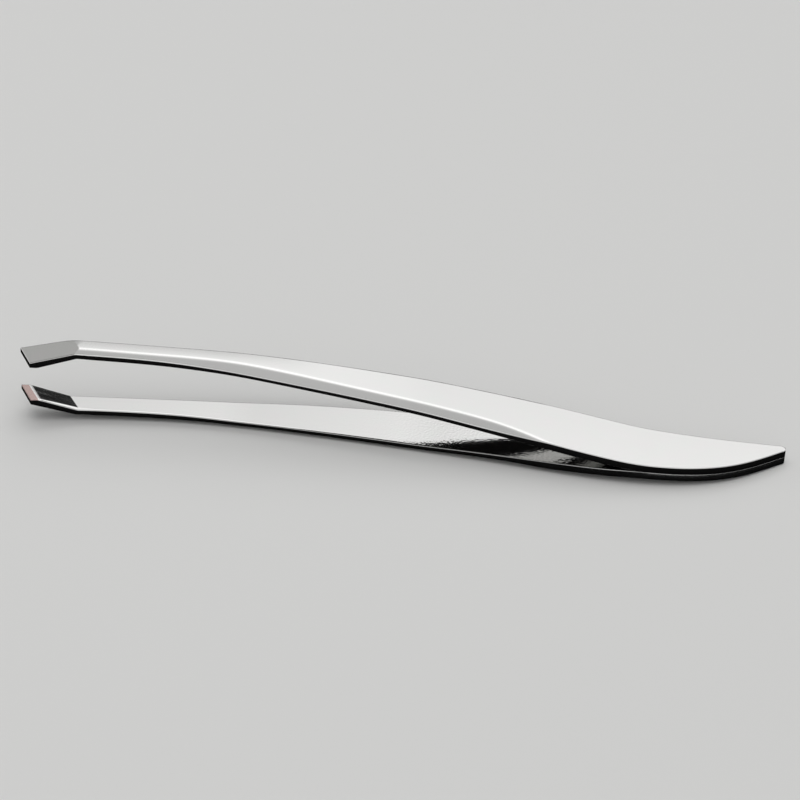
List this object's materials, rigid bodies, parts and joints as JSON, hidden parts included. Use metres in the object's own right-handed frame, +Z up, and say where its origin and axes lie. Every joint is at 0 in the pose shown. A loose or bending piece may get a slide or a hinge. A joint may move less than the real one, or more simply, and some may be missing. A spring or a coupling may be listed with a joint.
{
  "type": "slant tweezers",
  "caption": "Slim polished steel tweezers with slanted claw tips and a curved leaf-shaped tail; the two sprung arms squeeze together to grip and pluck fine hairs.",
  "frame": {"origin": "bottom centre of the bounding box, on the table that the tail's point and the lower arm's belly rest on", "axes": "+X from the tips to the tail's point, +Y across the strips away from the convex side of the tail, +Z up from the table"},
  "size_m": [0.0952, 0.011, 0.0102],
  "materials": {
    "polished_steel": "bright polished steel with fine lengthwise grinding lines",
    "weld_metal": "fused steel, dull"
  },
  "bodies": {
    "tail": {"upper_tail": "polished_steel", "lower_tail": "polished_steel", "spot_welds": "weld_metal"},
    "upper_arm": {"upper_arm": "polished_steel"},
    "lower_arm": {"lower_arm": "polished_steel"}
  },
  "joints": [
    {"name": "upper_arm_flex", "type": "hinge", "parent": "tail", "child": "upper_arm", "pos_m": [0.01906, -0.00028, 0.00334], "axis": [0, -1, 0], "range_deg": [0, 2.13], "stiffness_Nm_per_rad": 3},
    {"name": "lower_arm_flex", "type": "hinge", "parent": "tail", "child": "lower_arm", "pos_m": [0.01897, -0.00028, 0.00152], "axis": [0, 1, 0], "range_deg": [0, 2.13], "stiffness_Nm_per_rad": 3}
  ],
  "couplings": [
    {"joint": "lower_arm_flex", "follows": "upper_arm_flex", "ratio": 1}
  ]
}
